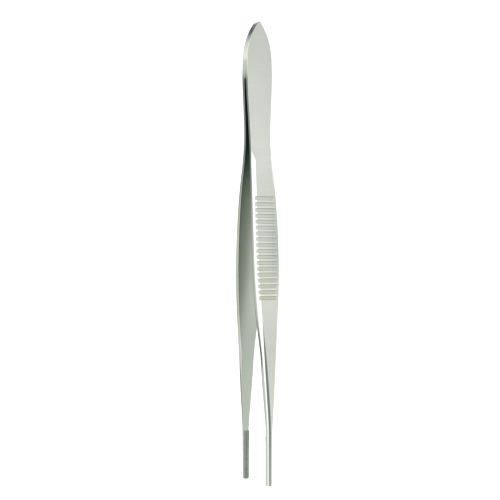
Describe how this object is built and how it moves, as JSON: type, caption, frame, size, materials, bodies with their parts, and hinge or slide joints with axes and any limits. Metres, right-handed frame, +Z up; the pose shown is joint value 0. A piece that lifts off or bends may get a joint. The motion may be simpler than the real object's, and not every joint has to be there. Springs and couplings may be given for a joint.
{
  "type": "epilation forceps",
  "caption": "Sprung steel thumb forceps with a pointed flat head, cross-grooved finger grips and slim straight jaws with fine lengthwise serrations.",
  "frame": {"origin": "on the surface that the forceps lie on, midway between the head's point and the tips, and midway between the arms", "axes": "+X along the forceps from the tips to the head, +Y from the right arm to the left arm, which is the way they open, +Z up across the arms' width"},
  "size_m": [0.12, 0.014, 0.0074],
  "materials": {
    "steel": "satin, brushed across, with polished edges"
  },
  "bodies": {
    "root": {"left_arm": "steel", "right_arm": "steel"}
  },
  "joints": []
}
